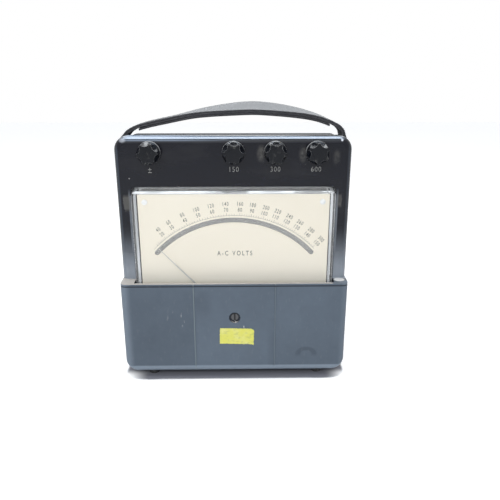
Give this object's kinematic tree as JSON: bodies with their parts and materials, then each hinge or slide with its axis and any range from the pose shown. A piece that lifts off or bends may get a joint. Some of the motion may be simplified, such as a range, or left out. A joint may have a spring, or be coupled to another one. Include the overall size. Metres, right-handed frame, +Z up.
{
  "type": "panel voltmeter",
  "caption": "Portable panel voltmeter in a moulded case: raised clear window over a mirror scale, fluted binding posts with clamping washers, zero adjuster and a leather carrying strap.",
  "frame": {"origin": "under the middle of the part, on the plane that the bottom feet stand on", "axes": "+X to the right as one reads the dial, +Y into the case away from the reader, +Z up from the bottom feet to the strap"},
  "size_m": [0.1952, 0.071, 0.2327],
  "materials": {
    "case_phenolic": "moulded phenolic, gloss where sheltered and hazed where handled",
    "knob_phenolic": "moulded phenolic, glossy black",
    "steel": "nickel-plated steel",
    "rubber": "black rubber",
    "clear_window": "clear moulded plastic",
    "label_paper": "coated paper slip, yellow",
    "scale_enamel": "cream enamel, satin",
    "mirror": "silvered strip",
    "brass": "lacquered brass",
    "aluminium": "mill-finished sheet",
    "pointer_enamel": "aluminium, thin grey enamel",
    "fibre": "varnished fibre and paper",
    "enamelled_wire": "enamelled copper wire",
    "lead_insulation": "woven sleeve",
    "leather": "worn black leather, greyed on top"
  },
  "bodies": {
    "case": {"front_housing": "case_phenolic", "back_cover": "case_phenolic", "case_screws": "steel", "bottom_feet": "rubber", "back_feet": "rubber", "window_cover": "clear_window", "window_gasket": "rubber", "window_screws": "steel", "inspection_label": "label_paper", "scale_plate": "scale_enamel", "mirror_strip": "mirror", "scale_screws": "scale_enamel", "dial_posts": "brass", "chassis_plate": "aluminium", "chassis_screws": "steel", "front_bridge": "brass", "bridge_screws": "steel", "front_jewel": "brass", "rear_bridge": "brass", "rear_jewel": "brass", "field_bobbin": "fibre", "field_winding": "enamelled_wire", "fixed_iron": "steel", "damping_chamber": "aluminium", "chamber_cover": "aluminium", "stud_common": "brass", "stud_150": "brass", "stud_300": "brass", "stud_600": "brass", "post_nuts": "brass", "terminal_lugs": "enamelled_wire", "multiplier_150": "fibre", "multiplier_300": "fibre", "multiplier_600": "fibre", "spool_brackets": "aluminium", "spool_bolts": "steel", "connecting_leads": "lead_insulation", "strap_screws": "steel", "strap_washers": "steel", "strap_inserts": "brass"},
    "handle": {"strap": "leather", "strap_lining": "leather"},
    "zero_adjuster": {"zero_adjuster": "steel"},
    "zero_lever": {"zero_lever": "brass"},
    "moving_system": {"staff": "steel", "moving_vane": "steel", "damping_vane": "aluminium", "pointer": "pointer_enamel", "balance_weights": "brass", "hairspring": "brass"},
    "clamp_common": {"washer_common": "brass"},
    "knob_common": {"knob_common": "knob_phenolic"},
    "clamp_150": {"washer_150": "brass"},
    "knob_150": {"knob_150": "knob_phenolic"},
    "clamp_300": {"washer_300": "brass"},
    "knob_300": {"knob_300": "knob_phenolic"},
    "clamp_600": {"washer_600": "brass"},
    "knob_600": {"knob_600": "knob_phenolic"}
  },
  "joints": [
    {"name": "handle_swing", "type": "hinge", "parent": "case", "child": "handle", "pos_m": [0, 0.00745, 0.1905], "axis": [1, 0, 0], "range_deg": [-12, 12], "deforming": ["strap"]},
    {"name": "zero_adjuster_turn", "type": "hinge", "parent": "case", "child": "zero_adjuster", "pos_m": [0, -0.03305, 0.0567], "axis": [0, 1, 0], "range_deg": [-45, 45]},
    {"name": "zero_lever_turn", "type": "hinge", "parent": "case", "child": "zero_lever", "pos_m": [0, -0.02985, 0.0497], "axis": [0, 1, 0], "range_deg": [-7, 7]},
    {"name": "pointer_deflection", "type": "hinge", "parent": "zero_lever", "child": "moving_system", "pos_m": [0, -0.0248, 0.0497], "axis": [0, 1, 0], "range_deg": [-2.5, 92], "stiffness_Nm_per_rad": 0.0002, "deforming": ["hairspring"]},
    {"name": "clamp_common_slide", "type": "slide", "parent": "case", "child": "clamp_common", "axis": [0, -1, 0], "range_m": [0, 0.00397]},
    {"name": "knob_common_turn", "type": "hinge", "parent": "clamp_common", "child": "knob_common", "pos_m": [-0.0667, -0.02905, 0.1947], "axis": [0, -1, 0], "range_deg": [0, 1800]},
    {"name": "clamp_150_slide", "type": "slide", "parent": "case", "child": "clamp_150", "axis": [0, -1, 0], "range_m": [0, 0.00397]},
    {"name": "knob_150_turn", "type": "hinge", "parent": "clamp_150", "child": "knob_150", "pos_m": [0, -0.02905, 0.1947], "axis": [0, -1, 0], "range_deg": [0, 1800]},
    {"name": "clamp_300_slide", "type": "slide", "parent": "case", "child": "clamp_300", "axis": [0, -1, 0], "range_m": [0, 0.00397]},
    {"name": "knob_300_turn", "type": "hinge", "parent": "clamp_300", "child": "knob_300", "pos_m": [0.03335, -0.02905, 0.1947], "axis": [0, -1, 0], "range_deg": [0, 1800]},
    {"name": "clamp_600_slide", "type": "slide", "parent": "case", "child": "clamp_600", "axis": [0, -1, 0], "range_m": [0, 0.00397]},
    {"name": "knob_600_turn", "type": "hinge", "parent": "clamp_600", "child": "knob_600", "pos_m": [0.0667, -0.02905, 0.1947], "axis": [0, -1, 0], "range_deg": [0, 1800]}
  ],
  "couplings": [
    {"joint": "zero_lever_turn", "follows": "zero_adjuster_turn", "ratio": 0.1463},
    {"joint": "knob_common_turn", "follows": "clamp_common_slide", "rad_per_m": 7915.8},
    {"joint": "knob_150_turn", "follows": "clamp_150_slide", "rad_per_m": 7915.8},
    {"joint": "knob_300_turn", "follows": "clamp_300_slide", "rad_per_m": 7915.8},
    {"joint": "knob_600_turn", "follows": "clamp_600_slide", "rad_per_m": 7915.8}
  ]
}
